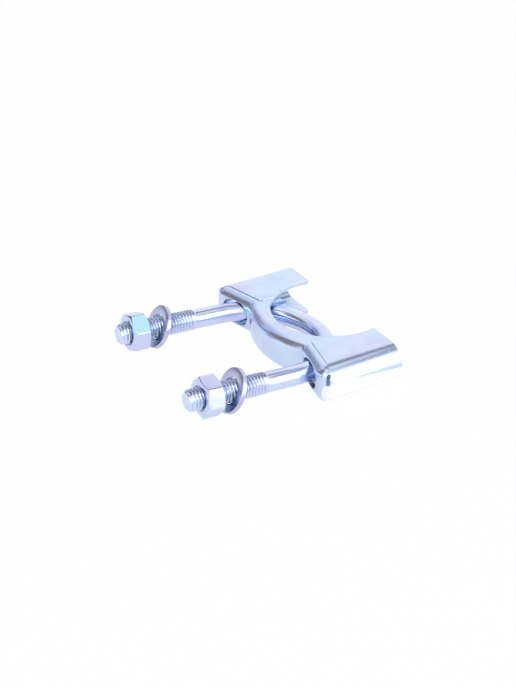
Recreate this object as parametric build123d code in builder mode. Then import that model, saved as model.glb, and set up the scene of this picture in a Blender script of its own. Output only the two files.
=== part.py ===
from build123d import *
import math
import os

# Exhaust clamp: a U-bolt slides through a pressed sheet saddle and two nuts on washers draw it up.
# Millimetres. +Z runs along the pipe's axis, +Y from the nuts to the bend, +X from one leg to the other.
# The origin is where the pipe's axis meets the plane that the saddle lies on.

# Pipe that the clamp holds
PIPE_DIA = 42.0
PIPE_SLACK = 1.0
PIPE_TO_LEG = 1.2

# U-bolt, lying slack in the saddle: it leans a little, with its bend near the seat
SHANK_DIA = 7.2
THREAD_DIA = 7.8
THREAD_LENGTH = 31.0
THREAD_END = 0.25
TIP_CHAMFER = 1.0
LEG_LENGTH = 42.0
LEG_LEAN = 4.7
LEG_LIFT = 0.62
BEND_SETBACK = 6.5

# Saddle, pressed from sheet
SHEET = 1.6
SADDLE_HEIGHT = 14.5
FRONT_REACH = 25.55
FRONT_SLANT = 13.5
WING_REACH = 4.4
PANEL_RISE = 0.3
PANEL_START_X = 17.0
PANEL_SETBACK = 3.9
PANEL_CORNER = 2.0
LEG_TO_SIDE = 13.45
BELLY_WALL = 6.2
BELLY_ARC = 39.8
BELLY_BLEND = 1.2
CORNER_RADIUS = 5.4
EDGE_RADIUS = 3.6
SIDE_FLAT_DEPTH = 0.04
LEG_SLOT_LENGTH = 13.2
LEG_SLOT_PLAY = 0.8
RELIEF_LENGTH = 10.4
RELIEF_WIDTH = 1.4
RELIEF_TURN = 43.0

# Washers, hanging askew on the threads
WASHER_DIA = 16.0
WASHER_HOLE = 9.4
WASHER_THICK = 1.6
WASHER_EDGE = 0.2
WASHER_LEAN = 22.5
WASHER_SKEW = 6.0

# Nuts
NUT_FLATS = 13.0
NUT_HEIGHT = 6.5
NUT_FACE_DIA = 12.2
NUT_CHAMFER_ANGLE = 30.0
NUT_BORE_CHAMFER = 0.6
NUT_PLAY = 0.06

# Where the loose pieces stand: how far each tip stands out of its nut, and the washer behind the nut
LEFT_TIP_OUT = 3.75
RIGHT_TIP_OUT = 5.05
NUT_TO_WASHER = 5.9
LEFT_NUT_TURN = 20.0
RIGHT_NUT_TURN = 47.0

# Sizes that follow from those above
SEAT_RADIUS = PIPE_DIA / 2 + PIPE_SLACK
LEG_X = PIPE_DIA / 2 + PIPE_TO_LEG + SHANK_DIA / 2
SIDE_X = LEG_X + LEG_TO_SIDE
MID_Z = SADDLE_HEIGHT / 2
BELLY_REACH = SEAT_RADIUS + BELLY_WALL
TIP_AT = BEND_SETBACK + LEG_LENGTH
THREAD_START = TIP_AT - THREAD_LENGTH
LEFT_NUT_AT = TIP_AT - LEFT_TIP_OUT - NUT_HEIGHT
RIGHT_NUT_AT = TIP_AT - RIGHT_TIP_OUT - NUT_HEIGHT
LEG_SLOT_HEIGHT = THREAD_DIA + 2 * LEG_SLOT_PLAY
NUT_BORE_RADIUS = THREAD_DIA / 2 + NUT_PLAY
NUT_CORNER_RADIUS = NUT_FLATS / math.sqrt(3)
LEAN_SIN = math.sin(math.radians(LEG_LEAN))
LEAN_COS = math.cos(math.radians(LEG_LEAN))
SLANT = math.radians(FRONT_SLANT)

# How far a cut runs past the wall it opens, and how near two places count as one
CUT_PAST = 2.0
NEAR = 0.01

# The U-bolt's own leaning plane: local X across the legs, local Y along them to the bend
bolt_plane = Plane(
    origin=(0, -FRONT_REACH, MID_Z + LEG_LIFT),
    x_dir=(1, 0, 0),
    z_dir=(0, LEAN_SIN, LEAN_COS),
)


def leg_plane(side, along):
    """Plane square to a leg at a distance from the front wall: it faces the tip, its local Y is up."""
    centre = bolt_plane.from_local_coords(Vector(side * LEG_X, -along, 0))
    return Plane(origin=centre, x_dir=(1, 0, 0), z_dir=(0, -LEAN_COS, LEAN_SIN))


def circles_of(edges, radius):
    """The round edges of one radius."""
    return edges.filter_by(GeomType.CIRCLE).filter_by(lambda rim: abs(rim.radius - radius) < NEAR)


def front_y(x, inset=0.0):
    """Y of the wings' slanted front wall at x, drawn in by inset."""
    return inset / math.cos(SLANT) - FRONT_REACH - (x - LEG_X) * math.tan(SLANT)


def saddle_outline(inset, back):
    """Plan of the saddle from above, drawn in by inset at the front and the sides."""
    side = SIDE_X - inset
    with BuildSketch() as outline:
        with Locations((0, BELLY_ARC - BELLY_REACH)):
            Circle(BELLY_ARC - inset)
        with Locations((0, back)):
            Rectangle(2 * LEG_X, 2 * BELLY_REACH, align=(Align.CENTER, Align.MAX), mode=Mode.INTERSECT)
        with BuildLine() as wing:
            Polyline((0, back), (side, back), (side, front_y(side, inset)), (0, front_y(0, inset)))
            mirror(about=Plane.YZ)
        make_face()
        by_width = outline.vertices().sort_by(lambda corner: abs(corner.X))
        fillet(by_width[:2], BELLY_BLEND + inset)
        in_front = outline.vertices().filter_by(lambda corner: corner.Y < back - NEAR)
        by_width = in_front.sort_by(lambda corner: abs(corner.X))
        fillet(by_width[-2:], CORNER_RADIUS - inset)
    return outline.sketch


def rounded_form(inset, height, back):
    """Solid on the saddle's plan, with rounded rims along the front and round sides with a slight flat."""
    depth = height - 2 * inset
    with BuildPart() as form:
        with BuildSketch(Plane.XY.offset(MID_Z - depth / 2)):
            add(saddle_outline(inset, back))
        extrude(amount=depth)
        rims = form.faces().filter_by(Axis.Z).edges().filter_by(lambda rim: rim.center().Y < back - NEAR)
        fillet(rims, EDGE_RADIUS - inset)
        with BuildSketch(Plane.XZ.offset(-back)):
            with Locations((0, MID_Z)):
                SlotOverall(2 * (SIDE_X - inset + SIDE_FLAT_DEPTH), depth)
        extrude(amount=back + 2 * BELLY_REACH, mode=Mode.INTERSECT)
    return form.part


def pressed_form(inset, back):
    """Solid form of the pressing: the belly, and the wings whose panels stand a little proud."""
    panel_front = front_y(PANEL_START_X, PANEL_SETBACK)
    with BuildPart() as form:
        add(rounded_form(inset, SADDLE_HEIGHT, back))
        with BuildSketch() as panels:
            with BuildLine():
                Polyline(
                    (PANEL_START_X, back),
                    (PANEL_START_X, panel_front),
                    (SIDE_X, front_y(SIDE_X, PANEL_SETBACK)),
                    (SIDE_X, back),
                    close=True,
                )
            make_face()
            inner_corner = panels.vertices().filter_by_position(Axis.Y, panel_front - NEAR, panel_front + NEAR)
            fillet(inner_corner, PANEL_CORNER)
            mirror(about=Plane.YZ)
        extrude(amount=SADDLE_HEIGHT, mode=Mode.INTERSECT)
        add(rounded_form(inset, SADDLE_HEIGHT - 2 * PANEL_RISE, back))
    return form.part


os.makedirs("parts", exist_ok=True)

# Saddle: one pressing of sheet, open at the wing ends and along the round seat
with BuildPart() as saddle:
    add(pressed_form(0, WING_REACH))
    add(pressed_form(SHEET, WING_REACH + CUT_PAST), mode=Mode.SUBTRACT)
    with BuildSketch():
        Circle(SEAT_RADIUS)
    extrude(amount=SADDLE_HEIGHT, mode=Mode.SUBTRACT)
    for side in (-1, 1):
        # Long hole in the front wall, which the leg passes with room at each side
        outward = Vector(0, -1, 0).rotate(Axis.Z, -side * FRONT_SLANT)
        hole_centre = Vector(side * LEG_X, -FRONT_REACH, MID_Z)
        with BuildSketch(Plane(hole_centre + outward * CUT_PAST, x_dir=(0, 0, 1), z_dir=outward)):
            SlotOverall(LEG_SLOT_LENGTH, LEG_SLOT_HEIGHT, rotation=90)
        extrude(amount=-(SHEET + 2 * CUT_PAST), mode=Mode.SUBTRACT)
        # Upright slit where the sheet folds round the front corner
        outward = Vector(side, 0, 0).rotate(Axis.Z, -side * RELIEF_TURN)
        corner_x = SIDE_X - CORNER_RADIUS
        corner = Vector(side * corner_x, front_y(corner_x, CORNER_RADIUS), MID_Z)
        with BuildSketch(Plane(corner + outward * (CORNER_RADIUS + CUT_PAST), x_dir=(0, 0, 1), z_dir=outward)):
            SlotOverall(RELIEF_LENGTH, RELIEF_WIDTH)
        extrude(amount=-(SHEET + 2 * CUT_PAST), mode=Mode.SUBTRACT)
saddle.part.label = "saddle"
export_step(saddle.part, "parts/saddle.step")

# U-bolt: one bent rod whose ends are rolled up into thicker threads
with BuildPart() as u_bolt:
    with BuildLine(bolt_plane) as bolt_path:
        Line((-LEG_X, -THREAD_START), (-LEG_X, -BEND_SETBACK))
        CenterArc((0, -BEND_SETBACK), LEG_X, 180, -180)
        Line((LEG_X, -BEND_SETBACK), (LEG_X, -THREAD_START))
    with BuildSketch(leg_plane(-1, THREAD_START)):
        Circle(SHANK_DIA / 2)
    sweep(path=bolt_path.wires()[0])
    for side in (-1, 1):
        with BuildSketch(leg_plane(side, THREAD_START)):
            Circle(THREAD_DIA / 2)
        extrude(amount=THREAD_LENGTH)
    thread_rims = circles_of(u_bolt.edges(), THREAD_DIA / 2).sort_by(Axis.Y)
    chamfer(thread_rims[:2], TIP_CHAMFER)
    chamfer(thread_rims[2:], THREAD_END)
u_bolt.part.label = "u_bolt"
export_step(u_bolt.part, "parts/u_bolt.step")

# Washers: flat rings whose wide hole lets them tip over on the thread
lean = math.radians(WASHER_LEAN)
skew = math.radians(WASHER_SKEW)
tipped = bolt_plane.y_dir * math.cos(lean) - bolt_plane.z_dir * math.sin(lean)
washer_normal = bolt_plane.x_dir * math.sin(skew) + tipped * math.cos(skew)
for name, side, nut_at in (("left_washer", -1, LEFT_NUT_AT), ("right_washer", 1, RIGHT_NUT_AT)):
    with BuildPart() as washer:
        with BuildSketch(Plane(leg_plane(side, nut_at - NUT_TO_WASHER).origin, z_dir=washer_normal)):
            Circle(WASHER_DIA / 2)
            Circle(WASHER_HOLE / 2, mode=Mode.SUBTRACT)
        extrude(amount=WASHER_THICK / 2, both=True)
        chamfer(circles_of(washer.edges(), WASHER_DIA / 2), WASHER_EDGE)
    washer.part.label = name
    export_step(washer.part, f"parts/{name}.step")

# Nuts: hexagons whose corners are turned down at both ends
nut_low = NUT_FACE_DIA / 2
nut_high = NUT_CORNER_RADIUS + CUT_PAST
nut_fall = (nut_high - nut_low) * math.tan(math.radians(NUT_CHAMFER_ANGLE))
for name, side, along, turn in (
    ("left_nut", -1, LEFT_NUT_AT, LEFT_NUT_TURN),
    ("right_nut", 1, RIGHT_NUT_AT, RIGHT_NUT_TURN),
):
    face = leg_plane(side, along)
    with BuildPart() as nut:
        with BuildSketch(face):
            RegularPolygon(NUT_CORNER_RADIUS, 6, rotation=turn)
        extrude(amount=NUT_HEIGHT)
        with BuildSketch(Plane(face.origin, x_dir=face.x_dir, z_dir=-face.y_dir)):
            with BuildLine():
                Polyline(
                    (0, 0),
                    (nut_low, 0),
                    (nut_high, nut_fall),
                    (nut_high, NUT_HEIGHT - nut_fall),
                    (nut_low, NUT_HEIGHT),
                    (0, NUT_HEIGHT),
                    close=True,
                )
            make_face()
        revolve(axis=Axis(face.origin, face.z_dir), mode=Mode.INTERSECT)
        with BuildSketch(face):
            Circle(NUT_BORE_RADIUS)
        extrude(amount=NUT_HEIGHT, mode=Mode.SUBTRACT)
        chamfer(circles_of(nut.edges(), NUT_BORE_RADIUS), NUT_BORE_CHAMFER)
    nut.part.label = name
    export_step(nut.part, f"parts/{name}.step")
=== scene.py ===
"""Exhaust clamp in bright zinc plate: a pressed saddle, a U-bolt with rolled threads, two nuts and two washers.

Metres. +Z runs along the pipe's axis, +Y from the nuts to the bend, +X from the rear leg to the front leg.
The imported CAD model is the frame: every piece below stands where its node stands.
"""
import logging
import math
from dataclasses import dataclass, field
from enum import Enum
from typing import Callable

import bmesh
import bpy
from mathutils import Matrix, Vector
from mathutils.bvhtree import BVHTree


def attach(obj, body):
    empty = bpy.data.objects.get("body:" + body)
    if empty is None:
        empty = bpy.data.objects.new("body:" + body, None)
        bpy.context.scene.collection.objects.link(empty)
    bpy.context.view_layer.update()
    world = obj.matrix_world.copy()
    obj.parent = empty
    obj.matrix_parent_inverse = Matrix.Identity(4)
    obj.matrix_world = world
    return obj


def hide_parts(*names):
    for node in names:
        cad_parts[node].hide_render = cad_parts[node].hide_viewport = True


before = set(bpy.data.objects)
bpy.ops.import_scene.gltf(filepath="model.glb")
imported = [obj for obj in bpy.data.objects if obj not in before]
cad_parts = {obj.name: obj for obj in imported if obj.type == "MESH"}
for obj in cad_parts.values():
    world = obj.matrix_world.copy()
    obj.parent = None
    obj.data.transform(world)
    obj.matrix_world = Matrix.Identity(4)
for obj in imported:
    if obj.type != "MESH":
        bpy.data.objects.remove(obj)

MM = 0.001
MERGE_DISTANCE = 0.002 * MM
SHARP_ANGLE = math.radians(35.0)
EDGE_SAMPLES = 12
RECESS_SAMPLES = 8
WHITE = "FFFFFF"

Tree = bpy.types.NodeTree
Socket = bpy.types.NodeSocket
Form = bmesh.types.BMesh
Edge = bmesh.types.BMEdge
Vertex = bmesh.types.BMVert

log = logging.getLogger("clamp")


class Side(Enum):
    """The two legs of the U-bolt, each with the sign of its X."""

    LEFT = -1
    RIGHT = 1


class Grain(Enum):
    """How the steel under the plate was worked: how densely its faint lines lie along X, Y and Z."""

    PRESSED = (1.0, 0.55, 1.0)
    DRAWN = (1.0, 0.035, 1.0)
    STAMPED = (1.0, 1.0, 1.0)
    FORGED = (1.0, 0.30, 1.0)


def linear(hex_code: str) -> tuple[float, float, float, float]:
    """Turn an sRGB hex colour into Blender's linear colour.

    Args:
        hex_code: Six hex digits, such as "D6E2FC".

    Returns:
        Red, green, blue and an alpha of one.
    """
    channels = []
    for start in (0, 2, 4):
        value = int(hex_code[start:start + 2], 16) / 255
        channels.append(value / 12.92 if value <= 0.04045 else ((value + 0.055) / 1.055) ** 2.4)
    return (channels[0], channels[1], channels[2], 1.0)


def add_node(
    tree: Tree,
    kind: str,
    settings: dict[str, object] | None = None,
    inputs: dict[str | int, object] | None = None,
) -> bpy.types.Node:
    """Add one node with its settings and links.

    Args:
        tree: Node tree that gets the node.
        kind: The node's type name.
        settings: Values for the node's own properties.
        inputs: For each input socket, a value or the output socket that feeds it.

    Returns:
        The new node.
    """
    node = tree.nodes.new(kind)
    for name, value in (settings or {}).items():
        setattr(node, name, value)
    for key, value in (inputs or {}).items():
        if isinstance(value, Socket):
            tree.links.new(value, node.inputs[key])
        else:
            node.inputs[key].default_value = value
    return node


def noise(tree: Tree, place: Socket, size_mm: float, detail: float, roughness: float = 0.5) -> Socket:
    """Add a cloudy noise.

    Args:
        tree: Node tree that gets it.
        place: The coordinates that it lies on.
        size_mm: About how wide one cloud is.
        detail: How many finer layers it has.
        roughness: How strong each finer layer is.

    Returns:
        The noise's socket.
    """
    return add_node(
        tree,
        "ShaderNodeTexNoise",
        inputs={"Vector": place, "Scale": 1 / (size_mm * MM), "Detail": detail, "Roughness": roughness},
    ).outputs["Fac"]


def remap(
    tree: Tree,
    value: Socket,
    source: tuple[float, float],
    target: tuple[float, float] = (0.0, 1.0),
    eased: bool = False,
) -> Socket:
    """Take a value from one range to another and clamp it there.

    Args:
        tree: Node tree that gets the node.
        value: The value.
        source: Range that it comes from.
        target: Range that it goes to.
        eased: Whether it starts and ends gently.

    Returns:
        The new value's socket.
    """
    return add_node(
        tree,
        "ShaderNodeMapRange",
        {"interpolation_type": "SMOOTHSTEP" if eased else "LINEAR"},
        {"Value": value, "From Min": source[0], "From Max": source[1], "To Min": target[0], "To Max": target[1]},
    ).outputs["Result"]


def calculate(tree: Tree, operation: str, *values: Socket | float) -> Socket:
    """Add a math node with its values in order."""
    return add_node(tree, "ShaderNodeMath", {"operation": operation}, dict(enumerate(values))).outputs["Value"]


def blend(tree: Tree, share: Socket, first: Socket | tuple[float, ...], second: tuple[float, ...]) -> Socket:
    """Blend two colours.

    Args:
        tree: Node tree that gets the node.
        share: How much of the second colour there is, from 0 to 1.
        first: The first colour, or the socket that gives it.
        second: The second colour.

    Returns:
        The blend's socket.
    """
    return add_node(
        tree, "ShaderNodeMix", {"data_type": "RGBA"}, {"Factor": share, 6: first, 7: second}
    ).outputs[2]


def mix_shaders(tree: Tree, share: Socket, first: Socket, second: Socket) -> Socket:
    """Mix a first shader with a share, from 0 to 1, of a second one."""
    return add_node(tree, "ShaderNodeMixShader", inputs={0: share, 1: first, 2: second}).outputs["Shader"]


def glow(tree: Tree, colour: str) -> Socket:
    """Shader that gives off a hex colour just as bright as it is written."""
    return add_node(
        tree, "ShaderNodeEmission", inputs={"Color": linear(colour), "Strength": 1.0}
    ).outputs["Emission"]


def new_tree(name: str) -> tuple[bpy.types.Material, Tree]:
    """Make a material with an empty node tree.

    Args:
        name: The material's name.

    Returns:
        The material and its tree.
    """
    material = bpy.data.materials.new(name)
    material.use_nodes = True
    material.node_tree.nodes.clear()
    return material, material.node_tree


@dataclass(frozen=True)
class ZincPlate:
    """Bright zinc plate with a clear blue passivate over steel.

    To the eye it is a soft mirror of a cold, pale blue-lavender, faintly cloudy and a little brighter on its edges,
    with the lines of the steel below it just showing through. Its recesses get painted shade, a darker colour laid
    in where little of the room is open. A pair named fades says where a pattern begins to show and where it is
    full, and a share says how much of its colour it gets there.
    """

    name: str
    grain: Grain
    colour: str = "D9E3FC"
    lavender: str = "D0D3F8"
    lavender_share: float = 0.8
    cyan: str = "C8E8FC"
    cyan_share: float = 0.5
    cyan_spread: float = 1.4
    cloud_mm: float = 9.0
    cloud_fades: tuple[float, float] = (0.44, 0.64)
    thick_at_mm: tuple[float, float, float] = (0.0, 0.0, 0.0)
    thick_reach_mm: float = 0.0
    thick_core: float = 0.6
    edge: str = "F2F6FE"
    edge_share: float = 0.8
    edge_fades: tuple[float, float] = (0.98, 0.86)
    edge_round_mm: float = 0.22
    # Painted shade: the colour laid into recesses where ambient occlusion finds little of the room open.
    recess_shade: str = "6E8CA9"
    recess_shade_share: float = 0.92
    recess_mm: float = 7.0
    open_share: float = 0.7
    shut_share: float = 0.3
    own_recesses_only: bool = True
    smooth: float = 0.17
    dull: float = 0.28
    dull_fades: tuple[float, float] = (0.3, 1.2)
    mottle_mm: float = 1.6
    scratch_mm: float = 0.8
    scratch_fades: tuple[float, float] = (0.69, 0.75)
    scratch_turns: tuple[float, float] = (25.0, -50.0)
    scratch_density: tuple[float, float, float] = (0.05, 1.0, 0.4)
    line_mm: float = 0.45
    line_depth_mm: float = 0.006
    dent_depth_mm: float = 0.025

    def build(self) -> bpy.types.Material:
        """Make the material.

        Returns:
            The plated finish as a node material.
        """
        material, tree = new_tree(self.name)
        place = add_node(tree, "ShaderNodeTexCoord").outputs["Object"]
        broken_edge = add_node(
            tree, "ShaderNodeBevel", {"samples": EDGE_SAMPLES}, {"Radius": self.edge_round_mm * MM}
        ).outputs["Normal"]
        mottle = noise(tree, place, self.mottle_mm, detail=4.0, roughness=0.6)
        dullness = calculate(tree, "ADD", mottle, self._scratches(tree, place))
        dents = noise(tree, place, self.cloud_mm / 2, detail=2.0, roughness=0.4)
        dented = self._relief(tree, dents, self.dent_depth_mm, broken_edge)
        shader = add_node(
            tree,
            "ShaderNodeBsdfPrincipled",
            inputs={
                "Base Color": self._colour(tree, place, broken_edge),
                "Metallic": 1.0,
                "Roughness": remap(tree, dullness, self.dull_fades, (self.smooth, self.dull)),
                "Normal": self._relief(tree, self._lines(tree, place), self.line_depth_mm, dented),
            },
        )
        add_node(tree, "ShaderNodeOutputMaterial", inputs={"Surface": shader.outputs["BSDF"]})
        return material

    def _relief(self, tree: Tree, height: Socket, depth_mm: float, normal: Socket) -> Socket:
        """Lay a height pattern over a normal.

        Args:
            tree: The material's tree.
            height: The pattern, from 0 to 1.
            depth_mm: How deep it goes.
            normal: The normal that it starts from.

        Returns:
            The new normal's socket.
        """
        return add_node(
            tree,
            "ShaderNodeBump",
            inputs={"Height": height, "Normal": normal, "Strength": 1.0, "Distance": depth_mm * MM},
        ).outputs["Normal"]

    def _colour(self, tree: Tree, place: Socket, broken_edge: Socket) -> Socket:
        """Passivate that drifts from blue-white to lavender and cyan, bright on edges, with painted shade in
        recesses.

        Args:
            tree: The material's tree.
            place: Object coordinates.
            broken_edge: The normal that turns over within the edges' small rounding.

        Returns:
            The colour's socket.
        """
        plate: tuple[float, ...] | Socket = linear(self.colour)
        drifts = (
            (self.lavender, self.lavender_share, self.cloud_mm),
            (self.cyan, self.cyan_share, self.cloud_mm * self.cyan_spread),
        )
        for tint, share, width_mm in drifts:
            clouds = noise(tree, place, width_mm, detail=3.0)
            plate = blend(tree, remap(tree, clouds, self.cloud_fades, (0.0, share)), plate, linear(tint))
        if self.thick_reach_mm:
            plate = blend(tree, self._thick_patch(tree, place), plate, linear(self.cyan))
        plate = blend(tree, self._edges(tree, broken_edge), plate, linear(self.edge))
        # Painted shade: the plate darkens towards the recess shade colour where ambient occlusion finds it shut in.
        return blend(tree, self._recess_shade(tree), plate, linear(self.recess_shade))

    def _thick_patch(self, tree: Tree, place: Socket) -> Socket:
        """Find the one place where the passivate is thick.

        Args:
            tree: The material's tree.
            place: Object coordinates.

        Returns:
            A mask's socket, one in the middle of the patch.
        """
        away = add_node(
            tree, "ShaderNodeVectorMath", {"operation": "DISTANCE"},
            {0: place, 1: tuple(mm * MM for mm in self.thick_at_mm)},
        ).outputs["Value"]
        reach = self.thick_reach_mm * MM
        return remap(tree, away, (reach, reach * self.thick_core), eased=True)

    def _edges(self, tree: Tree, broken_edge: Socket) -> Socket:
        """Find the edges, where the rounded normal leaves the face's own.

        Args:
            tree: The material's tree.
            broken_edge: The normal that turns over within the edges' small rounding.

        Returns:
            A mask's socket, at its most on the edge.
        """
        facing = add_node(tree, "ShaderNodeNewGeometry").outputs["Normal"]
        likeness = add_node(
            tree, "ShaderNodeVectorMath", {"operation": "DOT_PRODUCT"}, {0: facing, 1: broken_edge}
        ).outputs["Value"]
        return remap(tree, likeness, self.edge_fades, (0.0, self.edge_share))

    def _recess_shade(self, tree: Tree) -> Socket:
        """Find the recesses for the painted shade, where little of the room is open to view.

        Args:
            tree: The material's tree.

        Returns:
            A mask of the painted shade, at its most where the recess is nearly shut.
        """
        # Ambient occlusion drives the painted shade. Without own_recesses_only, other pieces close by darken it
        # too.
        openness = add_node(
            tree, "ShaderNodeAmbientOcclusion", {"samples": RECESS_SAMPLES, "only_local": self.own_recesses_only},
            {"Distance": self.recess_mm * MM},
        ).outputs["AO"]
        return remap(tree, openness, (self.open_share, self.shut_share), (0.0, self.recess_shade_share))

    def _lines(self, tree: Tree, place: Socket) -> Socket:
        """Height of the faint lines that rolling or drawing left in the steel.

        Args:
            tree: The material's tree.
            place: Object coordinates.

        Returns:
            The height's socket.
        """
        drawn_out = add_node(
            tree, "ShaderNodeMapping", inputs={"Vector": place, "Scale": self.grain.value}
        ).outputs["Vector"]
        return noise(tree, drawn_out, self.line_mm, detail=3.0, roughness=0.65)

    def _scratches(self, tree: Tree, place: Socket) -> Socket:
        """Handling scratches that run two ways across the plate.

        Args:
            tree: The material's tree.
            place: Object coordinates.

        Returns:
            A mask's socket, one inside a scratch.
        """
        masks = []
        for turn in self.scratch_turns:
            turned = add_node(
                tree,
                "ShaderNodeMapping",
                inputs={"Vector": place, "Rotation": (0.0, 0.0, math.radians(turn)), "Scale": self.scratch_density},
            ).outputs["Vector"]
            streaks = noise(tree, turned, self.scratch_mm, detail=2.0)
            masks.append(remap(tree, streaks, self.scratch_fades))
        return calculate(tree, "MAXIMUM", *masks)


@dataclass(frozen=True)
class LabelPaper:
    """Coated label paper: plain white, half matt, with a faint tooth."""

    name: str = "coated_label_paper"
    colour: str = "FEFEFE"
    shade: str = "F6F8FA"
    fibre_mm: float = 0.35
    roughness: float = 0.45
    tooth_mm: float = 0.01
    tooth_strength: float = 0.4

    def build(self) -> bpy.types.Material:
        """Make the material.

        Returns:
            The paper as a node material.
        """
        material, tree = new_tree(self.name)
        place = add_node(tree, "ShaderNodeTexCoord").outputs["Object"]
        fibres = noise(tree, place, self.fibre_mm, detail=5.0, roughness=0.7)
        tooth = add_node(
            tree,
            "ShaderNodeBump",
            inputs={"Height": fibres, "Strength": self.tooth_strength, "Distance": self.tooth_mm * MM},
        ).outputs["Normal"]
        shader = add_node(
            tree,
            "ShaderNodeBsdfPrincipled",
            inputs={
                "Base Color": blend(tree, fibres, linear(self.colour), linear(self.shade)),
                "Roughness": self.roughness,
                "Normal": tooth,
            },
        )
        add_node(tree, "ShaderNodeOutputMaterial", inputs={"Surface": shader.outputs["BSDF"]})
        return material


def make_piece(name: str, form: Form, finish: bpy.types.Material) -> bpy.types.Object:
    """Close a bmesh into a finished object that sits at the origin, smooth apart from its sharp edges.

    Args:
        name: The piece's name.
        form: The shape, in its place. It is freed here.
        finish: Its material.

    Returns:
        The new object, linked to the scene.
    """
    bmesh.ops.remove_doubles(form, verts=form.verts, dist=MERGE_DISTANCE)
    bmesh.ops.recalc_face_normals(form, faces=form.faces)
    mesh = bpy.data.meshes.new(name)
    form.to_mesh(mesh)
    form.free()
    mesh.materials.append(finish)
    mesh.shade_smooth()
    mesh.set_sharp_from_angle(angle=SHARP_ANGLE)
    piece = bpy.data.objects.new(name, mesh)
    bpy.context.scene.collection.objects.link(piece)
    log.info("%s: %d faces", name, len(mesh.polygons))
    return piece


def edges_at(form: Form, height: float) -> list[Edge]:
    """Open edges of a form that lie in one plane.

    Args:
        form: The form, with its axis on local Z.
        height: The plane's Z.

    Returns:
        The edges of the open rim there.
    """
    return [
        edge for edge in form.edges
        if edge.is_boundary and all(abs(vertex.co.z - height) < MERGE_DISTANCE for vertex in edge.verts)
    ]


def vertices_of(edges: list[Edge]) -> set[Vertex]:
    """All vertices of some edges."""
    return {vertex for edge in edges for vertex in edge.verts}


def grow_rim(form: Form, edges: list[Edge]) -> list[Edge]:
    """Extrude a rim in place.

    Args:
        form: The form.
        edges: The rim's edges.

    Returns:
        The new rim's edges, whose vertices are still to be moved.
    """
    grown = bmesh.ops.extrude_edge_only(form, edges=edges)["geom"]
    fresh = {part for part in grown if isinstance(part, Vertex)}
    return [part for part in grown if isinstance(part, Edge) and set(part.verts) <= fresh]


def merge_into(form: Form, other: Form) -> None:
    """Add another bmesh's shape to a form.

    Args:
        form: The form that grows.
        other: The shape that is added. It is freed here.
    """
    carrier = bpy.data.meshes.new("carrier")
    other.to_mesh(carrier)
    other.free()
    form.from_mesh(carrier)
    bpy.data.meshes.remove(carrier)


@dataclass(frozen=True)
class BoltLine:
    """Where the U-bolt lies in the saddle: a plane that leans a little, with its bend near the seat."""

    leg_x: float = 25.8 * MM
    front_y: float = -25.55 * MM
    height: float = 7.87 * MM
    lean: float = math.radians(4.7)

    def across(self) -> Vector:
        """Direction from the left leg to the right one."""
        return Vector((1.0, 0.0, 0.0))

    def to_tips(self) -> Vector:
        """Direction along a leg, away from the bend."""
        return Vector((0.0, -math.cos(self.lean), math.sin(self.lean)))

    def upward(self) -> Vector:
        """Direction square to the bolt's plane."""
        return Vector((0.0, math.sin(self.lean), math.cos(self.lean)))

    def point(self, side: float, along: float) -> Vector:
        """Find a place in the bolt's plane.

        Args:
            side: -1 on the left leg's axis, 0 midway, 1 on the right leg's axis.
            along: Distance from the saddle's front wall towards the tips.

        Returns:
            The place.
        """
        start = Vector((0.0, self.front_y, self.height))
        return start + self.across() * (side * self.leg_x) + self.to_tips() * along

    def leg_place(self, side: Side, along: float) -> Matrix:
        """Place for a piece on a leg: its Z points to the tip and its Y points up.

        Args:
            side: Which leg.
            along: Distance from the saddle's front wall.

        Returns:
            The matrix that takes local coordinates there.
        """
        turn = Matrix((self.across(), self.upward(), self.to_tips())).transposed()
        return Matrix.Translation(self.point(side.value, along)) @ turn.to_4x4()


@dataclass(frozen=True)
class Thread:
    """A right-hand metric thread wound on local Z. Its shares are of the pitch, its rounding is of the depth."""

    crest: float
    root: float
    pitch: float = 1.25 * MM
    steps: int = 44
    crest_share: float = 0.16
    root_share: float = 0.24
    rounding: float = 0.07
    lead_in: float = 1.5
    spare_turns: int = 2

    def profile(self) -> list[tuple[float, float]]:
        """Section of one pitch, from crest to crest.

        Returns:
            Pairs of a share of the pitch and a radius.
        """
        flank = (1 - self.crest_share - self.root_share) / 2
        rounded = (self.crest - self.root) * self.rounding
        return [
            (0.0, self.crest),
            (self.crest_share / 2, self.crest - rounded),
            (self.crest_share / 2 + flank, self.root + rounded),
            (0.5, self.root),
            (1 - self.crest_share / 2 - flank, self.root + rounded),
            (1 - self.crest_share / 2, self.crest - rounded),
            (1.0, self.crest),
        ]

    def wind(self, length: float, limit: Callable[[float, float], float]) -> Form:
        """Wind the thread as one open skin from local Z of zero to its length.

        Args:
            length: Length of the threaded stretch.
            limit: Gives the radius to use for a radius and a height, so that the ends run out.

        Returns:
            The skin, with a round open rim at each end.
        """
        form = bmesh.new()
        turns = math.ceil(length / self.pitch) + self.spare_turns
        section = [
            form.verts.new((radius, 0.0, (share - self.lead_in) * self.pitch)) for share, radius in self.profile()
        ]
        rail = [form.edges.new(pair) for pair in zip(section, section[1:])]
        bmesh.ops.spin(
            form, geom=section + rail, cent=(0, 0, 0), axis=(0, 0, 1), dvec=(0, 0, self.pitch / self.steps),
            angle=2 * math.pi * turns, steps=self.steps * turns, use_merge=False, use_duplicate=False,
        )
        bmesh.ops.remove_doubles(form, verts=form.verts, dist=MERGE_DISTANCE)
        for height, outward in ((0.0, -1.0), (length, 1.0)):
            everything = form.verts[:] + form.edges[:] + form.faces[:]
            bmesh.ops.bisect_plane(
                form, geom=everything, dist=MERGE_DISTANCE / 4, plane_co=(0, 0, height),
                plane_no=(0, 0, outward), clear_outer=True,
            )
        for vertex in form.verts:
            radius = math.hypot(vertex.co.x, vertex.co.y)
            scale = limit(radius, vertex.co.z) / radius
            vertex.co.x *= scale
            vertex.co.y *= scale
        return form


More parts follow.
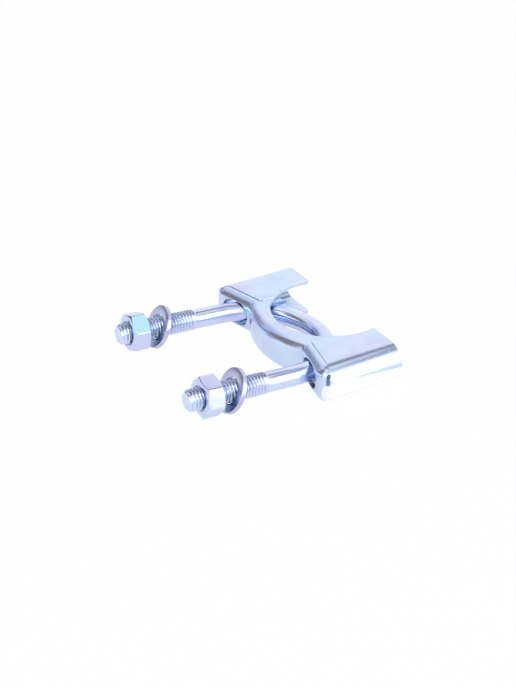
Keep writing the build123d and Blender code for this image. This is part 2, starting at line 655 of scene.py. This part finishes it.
@dataclass
class UBolt:
    """One bent rod: a smooth shank, a round bend and a thread rolled on each leg."""

    line: BoltLine
    finish: bpy.types.Material
    shank_radius: float = 3.6 * MM
    thread: Thread = field(default_factory=lambda: Thread(crest=3.9 * MM, root=3.22 * MM))
    thread_start: float = 17.5 * MM
    thread_length: float = 31.0 * MM
    run_out: float = 1.6 * MM
    tip_radius: float = 2.95 * MM
    tip_dish: float = 0.12 * MM
    dish_rim: float = 0.86
    dish_floor: float = 0.62
    bend_at: float = 6.5 * MM
    rod_sides: int = 64
    bend_steps: int = 72

    def build(self) -> bpy.types.Object:
        """Model the rod, dress it and seat it on its body.

        Returns:
            The piece.
        """
        form = bmesh.new()
        self._add_shank(form)
        for side in Side:
            self._add_thread(form, side)
        piece = make_piece("u_bolt_rod", form, self.finish)
        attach(piece, "u_bolt")
        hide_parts("u_bolt")
        return piece

    def _add_shank(self, form: Form) -> None:
        """Run the smooth rod from one thread to the other, open at both ends.

        Args:
            form: The form that gets the rod.
        """
        joint = self.thread_start - self.run_out / 2
        bmesh.ops.create_circle(
            form, segments=self.rod_sides, radius=self.shank_radius,
            matrix=self.line.leg_place(Side.LEFT, joint),
        )
        straight = self.line.to_tips() * (joint - self.bend_at)
        edges = self._run(form, form.edges[:], -straight)
        turned = bmesh.ops.spin(
            form, geom=edges, cent=self.line.point(0, self.bend_at), axis=self.line.upward(),
            dvec=(0, 0, 0), angle=-math.pi, steps=self.bend_steps, use_merge=False, use_duplicate=False,
        )["geom_last"]
        edges = [part for part in turned if isinstance(part, Edge)]
        self._run(form, edges, straight)

    def _run(self, form: Form, edges: list[Edge], way: Vector) -> list[Edge]:
        """Draw a rim out along a straight way.

        Args:
            form: The form.
            edges: The rim's edges.
            way: How far and which way it goes.

        Returns:
            The edges of the new rim.
        """
        rim = grow_rim(form, edges)
        bmesh.ops.translate(form, verts=list(vertices_of(rim)), vec=way)
        return rim

    def _radius_at(self, radius: float, height: float) -> float:
        """Let the thread rise out of the shank and end in the tip's chamfer.

        Args:
            radius: The thread's own radius.
            height: Distance from the start of the thread.

        Returns:
            The radius there.
        """
        risen = min(height / self.run_out, 1.0)
        eased = risen * risen * (3 - 2 * risen)
        radius = self.shank_radius + (radius - self.shank_radius) * eased
        return min(radius, self.tip_radius + self.thread_length - height)

    def _add_thread(self, form: Form, side: Side) -> None:
        """Wind one leg's thread, close its tip and join it to the shank.

        Args:
            form: The form that holds the shank.
            side: Which leg.
        """
        skin = self.thread.wind(self.thread_length, self._radius_at)
        rim = edges_at(skin, self.thread_length)
        for share, depth in ((self.dish_rim, 0.0), (self.dish_floor, self.tip_dish)):
            rim = grow_rim(skin, rim)
            for vertex in vertices_of(rim):
                vertex.co = Vector((vertex.co.x * share, vertex.co.y * share, self.thread_length - depth))
        bmesh.ops.edgeloop_fill(skin, edges=rim)
        place = self.line.leg_place(side, self.thread_start)
        bmesh.ops.transform(skin, matrix=place, verts=skin.verts)
        merge_into(form, skin)
        middle_of_gap = place.translation - self.line.to_tips() * (self.run_out / 4)
        reach = 2 * self.shank_radius
        rims = [
            edge for edge in form.edges
            if edge.is_boundary and (edge.verts[0].co - middle_of_gap).length < reach
        ]
        bmesh.ops.bridge_loops(form, edges=rims)


@dataclass
class Washer:
    """Punched flat washer: die-rolled on one side, with a crisp sheared edge on the other."""

    name: str
    side: Side
    along: float
    line: BoltLine
    finish: bpy.types.Material
    radius: float = 8.0 * MM
    hole: float = 4.7 * MM
    thickness: float = 1.6 * MM
    die_roll: float = 0.30 * MM
    burr: float = 0.08 * MM
    lean: float = math.radians(22.5)
    skew: float = math.radians(6.0)
    steps: int = 120

    def build(self) -> bpy.types.Object:
        """Model the washer, dress it and seat it on its body.

        Returns:
            The piece.
        """
        form = bmesh.new()
        half = self.thickness / 2
        corners = [
            form.verts.new((radius, 0.0, height))
            for radius, height in ((self.hole, -half), (self.radius, -half), (self.radius, half), (self.hole, half))
        ]
        for corner, after in zip(corners, corners[1:] + corners[:1]):
            form.edges.new((corner, after))
        for corner, size in zip(corners, (self.burr, self.die_roll, self.burr, self.die_roll)):
            bmesh.ops.bevel(
                form, geom=[corner], offset=size, offset_type="OFFSET", affect="VERTICES",
                segments=4, profile=0.5, material=-1,
            )
        section = form.verts[:] + form.edges[:]
        bmesh.ops.spin(
            form, geom=section, cent=(0, 0, 0), axis=(0, 0, 1), dvec=(0, 0, 0), angle=2 * math.pi,
            steps=self.steps, use_merge=True, use_duplicate=False,
        )
        bmesh.ops.transform(form, matrix=self._place(), verts=form.verts)
        piece = make_piece(f"{self.name}_ring", form, self.finish)
        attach(piece, self.name)
        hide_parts(self.name)
        return piece

    def _place(self) -> Matrix:
        """Tip the washer over on its thread.

        Returns:
            The matrix that takes local coordinates to its place.
        """
        to_bend = -self.line.to_tips()
        tipped = to_bend * math.cos(self.lean) - self.line.upward() * math.sin(self.lean)
        normal = self.line.across() * math.sin(self.skew) + tipped * math.cos(self.skew)
        turn = normal.to_track_quat("Z", "Y").to_matrix().to_4x4()
        return Matrix.Translation(self.line.point(self.side.value, self.along)) @ turn


@dataclass
class HexNut:
    """Hexagon nut with both faces turned down and a thread cut in its bore."""

    name: str
    side: Side
    along: float
    turn: float
    line: BoltLine
    finish: bpy.types.Material
    flats: float = 13.0 * MM
    height: float = 6.5 * MM
    face_radius: float = 6.1 * MM
    chamfer_angle: float = math.radians(30.0)
    corner_round: float = 0.35 * MM
    bore: float = 3.96 * MM
    groove: float = 4.35 * MM
    mouth: float = 4.56 * MM
    side_cuts: int = 11
    first_corner: float = math.radians(90.0)

    def build(self) -> bpy.types.Object:
        """Model the nut, dress it and seat it on its body.

        Returns:
            The piece.
        """
        form = self._body()
        thread = Thread(crest=self.bore, root=self.groove)
        merge_into(form, thread.wind(self.height, self._bore_at))
        for height in (0.0, self.height):
            bmesh.ops.bridge_loops(form, edges=edges_at(form, height))
        place = self.line.leg_place(self.side, self.along)
        bmesh.ops.transform(form, matrix=place, verts=form.verts)
        piece = make_piece(f"{self.name}_hexagon", form, self.finish)
        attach(piece, self.name)
        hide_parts(self.name)
        return piece

    def _bore_at(self, radius: float, height: float) -> float:
        """Open the bore's thread into the countersink at each mouth."""
        depth = min(height, self.height - height)
        return max(radius, self.mouth - depth)

    def _body(self) -> Form:
        """Outside of the nut, open at both bearing faces.

        Returns:
            The form, standing on local Z of zero.
        """
        form = bmesh.new()
        turned = Matrix.Rotation(self.turn - self.first_corner, 4, "Z")
        corner = self.flats / math.sqrt(3)
        bmesh.ops.create_circle(form, segments=6, radius=corner, matrix=turned)
        bmesh.ops.bevel(
            form, geom=form.verts[:], offset=self.corner_round, offset_type="OFFSET", affect="VERTICES",
            segments=3, profile=0.5, material=-1,
        )
        flat_sides = [edge for edge in form.edges if edge.calc_length() > self.flats / 4]
        bmesh.ops.subdivide_edges(form, edges=flat_sides, cuts=self.side_cuts)
        lower = form.edges[:]
        rows = (lower, grow_rim(form, lower))
        for row, level, way in zip(rows, (0.0, self.height), (1, -1)):
            for vertex in vertices_of(row):
                radius = math.hypot(vertex.co.x, vertex.co.y)
                fall = max(radius - self.face_radius, 0.0) * math.tan(self.chamfer_angle)
                vertex.co.z = level + way * fall
        for row, level in zip(rows, (0.0, self.height)):
            for vertex in vertices_of(grow_rim(form, row)):
                scale = self.face_radius / math.hypot(vertex.co.x, vertex.co.y)
                vertex.co = Vector((vertex.co.x * scale, vertex.co.y * scale, level))
        return form


@dataclass
class Saddle:
    """The pressing: its CAD node keeps its shape and gets the plate."""

    finish: bpy.types.Material
    node: str = "saddle"

    def build(self) -> bpy.types.Object:
        """Dress the CAD node.

        Returns:
            The node's object.
        """
        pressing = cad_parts[self.node]
        for slot in pressing.material_slots:
            slot.material = self.finish
        log.info("%s: CAD node with %d faces", self.node, len(pressing.data.polygons))
        return pressing


@dataclass
class Label:
    """Blank paper strip with a round end, stuck round the saddle's right front corner and along its side."""

    finish: bpy.types.Material
    backing: str = "saddle"
    length: float = 32.6 * MM
    width: float = 9.6 * MM
    thickness: float = 0.08 * MM
    stand_off: float = 0.02 * MM
    end_y: float = 4.3 * MM
    corner_x: float = 33.85 * MM
    corner_y: float = -21.93 * MM
    corner_radius: float = 5.4 * MM
    side_radius: float = 7.25 * MM
    top_rise: float = 2.2 * MM
    slope: float = 0.075
    lower_cut: float = 0.5
    start_off: float = 4.0 * MM
    deepest: float = 1.2 * MM
    least_facing: float = 0.5
    columns: int = 120
    rows: int = 32

    def build(self) -> bpy.types.Object:
        """Model the strip on the pressing's skin and seat it on the saddle's body.

        Returns:
            The piece.
        """
        form = bmesh.new()
        bmesh.ops.create_grid(form, x_segments=self.columns, y_segments=self.rows, size=0.5)
        rows: dict[int, list[Vertex]] = {}
        for vertex in form.verts:
            rows.setdefault(round(vertex.co.y * self.rows), []).append(vertex)
        skin = BVHTree.FromObject(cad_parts[self.backing], bpy.context.evaluated_depsgraph_get())
        for row in rows.values():
            self._lay(sorted(row, key=lambda vertex: vertex.co.x), skin)
        bmesh.ops.recalc_face_normals(form, faces=form.faces)
        if sum(face.normal.x for face in form.faces) < 0:
            bmesh.ops.reverse_faces(form, faces=form.faces)
        bmesh.ops.solidify(form, geom=form.faces[:], thickness=-self.thickness)
        piece = make_piece("label_strip", form, self.finish)
        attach(piece, self.backing)
        return piece

    def _lay(self, row: list[Vertex], skin: BVHTree) -> None:
        """Lay one row of the strip on the skin. Over an opening the paper spans straight from edge to edge.

        Args:
            row: The row's vertices, from the front end.
            skin: The pressing's skin.
        """
        landed = [self._landing(vertex.co, skin) for vertex in row]
        held = [index for index, place in enumerate(landed) if place is not None]
        for index, vertex in enumerate(row):
            before = max((spot for spot in held if spot <= index), default=held[0])
            after = min((spot for spot in held if spot >= index), default=held[-1])
            share = (index - before) / (after - before) if after > before else 0.0
            vertex.co = landed[before].lerp(landed[after], share)

    def _landing(self, spot: Vector, skin: BVHTree) -> Vector | None:
        """Find where a spot of the flat strip comes to lie, a little off the skin.

        Args:
            spot: Its place on the grid, one unit wide each way.
            skin: The pressing's skin.

        Returns:
            The place, or None over the slit and past the edge of the leg's hole.
        """
        up = spot.y * self.width
        half = self.width / 2
        cut = (half - math.sqrt(max(half ** 2 - up ** 2, 0.0))) * (self.lower_cut if up < 0 else 1.0)
        along = cut + (spot.x + 0.5) * (self.length - cut)
        behind = along - (self.length - self.end_y + self.corner_y)
        rise = self.top_rise - self.slope * behind - (half - up)
        turn = max(-behind, 0.0) / self.corner_radius
        tilt = rise / self.side_radius
        level = Vector((math.cos(turn), -math.sin(turn), 0.0))
        outward = level * math.cos(tilt) + Vector((0.0, 0.0, math.sin(tilt)))
        spine = Vector((self.corner_x, self.corner_y + max(behind, 0.0), self.side_radius))
        spine += level * (self.corner_radius - self.side_radius)
        hit, normal, _, depth = skin.ray_cast(spine + outward * (self.side_radius + self.start_off), -outward)
        if hit is None or normal.dot(outward) < self.least_facing or depth > self.start_off + self.deepest:
            return None
        return hit + normal * self.stand_off


def out_towards(azimuth: float, elevation: float) -> Vector:
    """Direction in the room at two angles in radians. Azimuth 0 is on the nuts' side, pi / 2 on the right side."""
    level = math.cos(elevation)
    return Vector((math.sin(azimuth) * level, -math.cos(azimuth) * level, math.sin(elevation)))


@dataclass
class PhotoCamera:
    """Camera at the photograph's place: a 36 mm frame along the picture's long side."""

    azimuth: float = math.radians(59.41)
    elevation: float = math.radians(30.37)
    roll: float = math.radians(-0.49)
    distance: float = 484.09 * MM
    aim: Vector = field(default_factory=lambda: Vector((-3.86, -28.58, 5.2)) * MM)
    lens: float = 69.53
    sensor: float = 36.0
    near_limit: float = 1 * MM

    def build(self) -> bpy.types.Object:
        """Set the camera up.

        Returns:
            The scene's camera.
        """
        data = bpy.data.cameras.new("photo_camera")
        data.lens = self.lens
        data.sensor_width = self.sensor
        data.clip_start = self.near_limit
        camera = bpy.data.objects.new("photo_camera", data)
        bpy.context.scene.collection.objects.link(camera)
        back = out_towards(self.azimuth, self.elevation)
        turn = (-back).to_track_quat("-Z", "Y").to_matrix().to_4x4()
        place = Matrix.Translation(self.aim + back * self.distance)
        camera.matrix_world = place @ turn @ Matrix.Rotation(self.roll, 4, "Z")
        bpy.context.scene.camera = camera
        return camera


@dataclass(frozen=True)
class Softbox:
    """Soft rectangular lamp. Its angles are in degrees, and a brightness of one makes its face white."""

    name: str
    azimuth: float
    elevation: float
    size: tuple[float, float]
    distance: float
    brightness: float


@dataclass(frozen=True)
class Cloth:
    """Dark cloth bent round the object, from one angle to another, in degrees."""

    name: str
    azimuths: tuple[float, float]
    elevations: tuple[float, float]
    distance: float
    colour: str


@dataclass
class Studio:
    """Plain pale floor, soft lamps and dark flags that the bright metal mirrors as bands.

    The flags stand at different distances from the centre, so that no two of them share a surface.
    """

    centre: Vector = field(default_factory=lambda: Vector((0.0, -30.0, 8.0)) * MM)
    fill_colour: str = "F4F6FF"
    fill_strength: float = 0.7
    floor_radius: float = 3.0
    floor_sides: int = 96
    floor_colour: str = "F2F3F6"
    floor_roughness: float = 0.9
    floor_mirrored: float = 0.62
    floor_direct: float = 0.35
    cloth_columns: int = 24
    cloth_rows: int = 12
    cloth_fade: float = 0.24
    softboxes: tuple[Softbox, ...] = (
        Softbox("side_softbox", azimuth=120.0, elevation=18.0, size=(0.60, 0.56), distance=0.62, brightness=1.7),
        Softbox("front_softbox", azimuth=24.0, elevation=32.0, size=(0.28, 0.5), distance=0.62, brightness=1.4),
        Softbox("top_softbox", azimuth=30.0, elevation=80.0, size=(0.5, 0.5), distance=0.75, brightness=1.1),
    )
    cloths: tuple[Cloth, ...] = (
        Cloth("broad_flag", azimuths=(-112.0, 2.0), elevations=(-1.0, 60.0), distance=0.60, colour="D6DBF2"),
        Cloth("rim_flag", azimuths=(-58.0, 2.0), elevations=(2.0, 76.0), distance=0.50, colour="8C827E"),
        Cloth("wing_flag", azimuths=(-92.0, -58.0), elevations=(-1.0, 36.0), distance=0.52, colour="A09FAC"),
        Cloth("horizon_flag", azimuths=(-88.0, -26.0), elevations=(-1.0, 13.0), distance=0.54, colour="747382"),
        Cloth("high_flag", azimuths=(134.0, 194.0), elevations=(45.0, 57.0), distance=0.40, colour="8A9AAC"),
        Cloth("shank_flag", azimuths=(184.0, 226.0), elevations=(48.0, 70.0), distance=1.9, colour="878C96"),
        Cloth("zenith_flag", azimuths=(-90.0, 90.0), elevations=(62.0, 118.0), distance=0.45, colour="8D95A5"),
        Cloth("skirting", azimuths=(88.0, 146.0), elevations=(2.8, 7.4), distance=0.30, colour="3F7098"),
    )

    def build(self) -> None:
        """Set the room, the lamps and the flags up."""
        self._room()
        self._floor()
        for softbox in self.softboxes:
            self._hang_lamp(softbox)
        for cloth in self.cloths:
            self._hang_flag(cloth)

    def _seen(self, tree: Tree) -> Socket:
        """One for camera, glossy and transmission rays, which see the white background.

        Args:
            tree: The tree of a material or of the world.

        Returns:
            The mask's socket.
        """
        ray = add_node(tree, "ShaderNodeLightPath").outputs
        plain = calculate(tree, "MAXIMUM", ray["Is Camera Ray"], ray["Is Glossy Ray"])
        return calculate(tree, "MAXIMUM", plain, ray["Is Transmission Ray"])

    def _room(self) -> None:
        """White surroundings that light the object at a plain level."""
        world = bpy.data.worlds.new("white_room")
        bpy.context.scene.world = world
        world.use_nodes = True
        tree = world.node_tree
        tree.nodes.clear()
        fill, white = (
            add_node(
                tree, "ShaderNodeBackground", inputs={"Color": linear(colour), "Strength": strength}
            ).outputs["Background"]
            for colour, strength in ((self.fill_colour, self.fill_strength), (WHITE, 1.0))
        )
        mixed = mix_shaders(tree, self._seen(tree), fill, white)
        add_node(tree, "ShaderNodeOutputWorld", inputs={"Surface": mixed})

    def _floor(self) -> None:
        """Pale floor that the camera sees as white. It keeps the object's shadow, most of all in mirrored light."""
        form = bmesh.new()
        bmesh.ops.create_circle(form, cap_ends=True, segments=self.floor_sides, radius=self.floor_radius)
        material, tree = new_tree("white_card")
        floor = self._stand("studio_floor", form, material)
        card = add_node(
            tree,
            "ShaderNodeBsdfPrincipled",
            inputs={"Base Color": linear(self.floor_colour), "Roughness": self.floor_roughness},
        ).outputs["BSDF"]
        mirrored = calculate(tree, "MULTIPLY", self._seen(tree), self.floor_mirrored)
        direct = add_node(tree, "ShaderNodeLightPath").outputs["Is Camera Ray"]
        share = calculate(tree, "MULTIPLY_ADD", direct, self.floor_direct, mirrored)
        mixed = mix_shaders(tree, share, card, glow(tree, WHITE))
        add_node(tree, "ShaderNodeOutputMaterial", inputs={"Surface": mixed})

    def _stand(self, name: str, form: Form, material: bpy.types.Material) -> bpy.types.Object:
        """Put a piece of the studio in the scene.

        Args:
            name: Its name.
            form: Its shape, in its place. It is freed here.
            material: Its material.

        Returns:
            The new object.
        """
        mesh = bpy.data.meshes.new(name)
        form.to_mesh(mesh)
        form.free()
        mesh.materials.append(material)
        item = bpy.data.objects.new(name, mesh)
        bpy.context.scene.collection.objects.link(item)
        return item

    def _hang_lamp(self, softbox: Softbox) -> None:
        """Hang a soft lamp that looks at the object.

        Args:
            softbox: What it is like and where it hangs.
        """
        data = bpy.data.lights.new(softbox.name, "AREA")
        data.shape = "RECTANGLE"
        data.size, data.size_y = softbox.size
        data.energy = softbox.brightness * math.pi * softbox.size[0] * softbox.size[1]
        lamp = bpy.data.objects.new(softbox.name, data)
        out = out_towards(math.radians(softbox.azimuth), math.radians(softbox.elevation))
        place = Matrix.Translation(self.centre + out * softbox.distance)
        lamp.matrix_world = place @ out.to_track_quat("Z", "Y").to_matrix().to_4x4()
        bpy.context.scene.collection.objects.link(lamp)

    def _hang_flag(self, cloth: Cloth) -> None:
        """Hang a cloth with soft edges where only the metal's reflections see it.

        Args:
            cloth: What it is like and where it hangs.
        """
        form = bmesh.new()
        form.loops.layers.uv.new("cloth")
        bmesh.ops.create_grid(
            form, x_segments=self.cloth_columns, y_segments=self.cloth_rows, size=0.5, calc_uvs=True
        )
        for vertex in form.verts:
            azimuth = cloth.azimuths[0] + (vertex.co.x + 0.5) * (cloth.azimuths[1] - cloth.azimuths[0])
            elevation = cloth.elevations[0] + (vertex.co.y + 0.5) * (cloth.elevations[1] - cloth.elevations[0])
            out = out_towards(math.radians(azimuth), math.radians(elevation))
            vertex.co = self.centre + out * cloth.distance
        material, tree = new_tree(f"{cloth.name}_cloth")
        flag = self._stand(cloth.name, form, material)
        flag.visible_camera = False
        flag.visible_diffuse = False
        flag.visible_shadow = False
        place = add_node(tree, "ShaderNodeTexCoord").outputs["UV"]
        parts = add_node(tree, "ShaderNodeSeparateXYZ", inputs={0: place}).outputs
        fades = [
            remap(tree, calculate(tree, "PINGPONG", parts[axis], 0.5), (0.0, self.cloth_fade), eased=True)
            for axis in ("X", "Y")
        ]
        cover = calculate(tree, "MULTIPLY", *fades)
        clear = add_node(tree, "ShaderNodeBsdfTransparent").outputs["BSDF"]
        mixed = mix_shaders(tree, cover, clear, glow(tree, cloth.colour))
        add_node(tree, "ShaderNodeOutputMaterial", inputs={"Surface": mixed})


def main() -> None:
    """Build the clamp and its studio in order."""
    logging.basicConfig(level=logging.INFO, format="%(name)s: %(message)s")
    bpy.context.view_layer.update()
    bpy.context.scene.view_settings.view_transform = "Standard"
    PhotoCamera().build()

    line = BoltLine()
    # Each finish paints shade into its recesses; the rod, nut and washer finishes also paint shade where other
    # pieces close in.
    pressed = ZincPlate("zinc_plate_on_pressed_sheet", Grain.PRESSED, recess_mm=13.0, open_share=0.78).build()
    drawn = ZincPlate(
        "zinc_plate_on_drawn_rod", Grain.DRAWN, lavender="CACEF6", dull=0.26, cyan_share=0.2, edge_round_mm=0.07,
        recess_shade="8C9AAE", open_share=0.62, own_recesses_only=False,
    ).build()
    stamped = ZincPlate(
        "zinc_plate_on_stamped_washers", Grain.STAMPED, colour="CBCDE9", lavender="C3BFDF", cyan="B8CFEA",
        smooth=0.20, dull=0.30, line_depth_mm=0.002, dent_depth_mm=0.015, recess_shade="89A7CC", own_recesses_only=False,
    ).build()
    forged = ZincPlate(
        "zinc_plate_on_forged_nuts", Grain.FORGED, colour="D3DAFB", cyan="C0EEFE", smooth=0.13, dull=0.22,
        cyan_share=0.15, thick_at_mm=(-21.6, -66.5, 16.2), thick_reach_mm=5.2, line_depth_mm=0.003,
        edge_round_mm=0.10, recess_shade="7C96B0", own_recesses_only=False,
    ).build()

    Saddle(pressed).build()
    UBolt(line, drawn).build()
    HexNut("left_nut", Side.LEFT, along=38.25 * MM, turn=math.radians(20.0), line=line, finish=forged).build()
    HexNut("right_nut", Side.RIGHT, along=36.95 * MM, turn=math.radians(47.0), line=line, finish=forged).build()
    Washer("left_washer", Side.LEFT, along=32.35 * MM, line=line, finish=stamped).build()
    Washer("right_washer", Side.RIGHT, along=31.05 * MM, line=line, finish=stamped).build()
    Label(LabelPaper().build()).build()
    Studio().build()

    bpy.context.view_layer.update()


if __name__ == "__main__":
    main()
